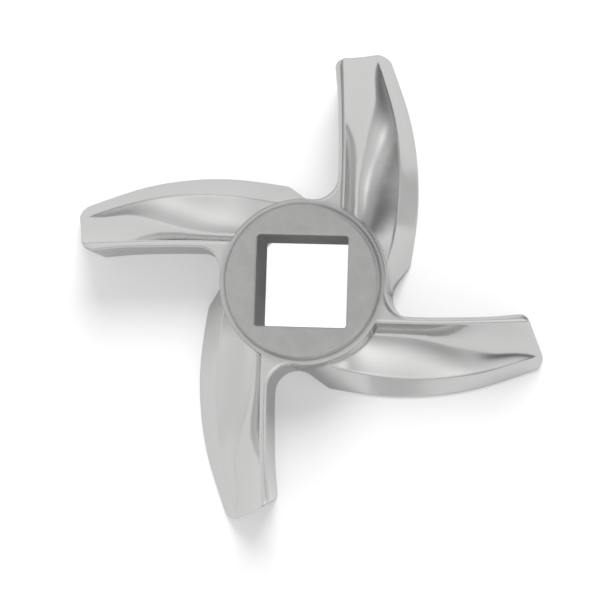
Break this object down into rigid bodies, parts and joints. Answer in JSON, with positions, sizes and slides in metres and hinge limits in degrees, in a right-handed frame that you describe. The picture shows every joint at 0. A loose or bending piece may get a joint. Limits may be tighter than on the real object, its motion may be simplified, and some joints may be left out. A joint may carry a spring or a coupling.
{
  "type": "meat grinder knife",
  "caption": "Cross-shaped meat grinder knife cast in one piece, with scooped blades swirling from a hub ring and a square drive bore.",
  "frame": {"origin": "on the axis of the square drive bore, in the plane of the flat cutting face", "axes": "+Z along the drive axis from the cutting face up through the ring, +X and +Y square to the flats of the drive bore, one blade along each of +X, +Y, -X and -Y"},
  "size_m": [0.0518, 0.0518, 0.0099],
  "materials": {
    "knife_steel": "cast steel, polished over the blades, ground on the ring face and the cutting face, left as cast in the square bore"
  },
  "bodies": {
    "root": {"knife": "knife_steel"}
  },
  "joints": []
}
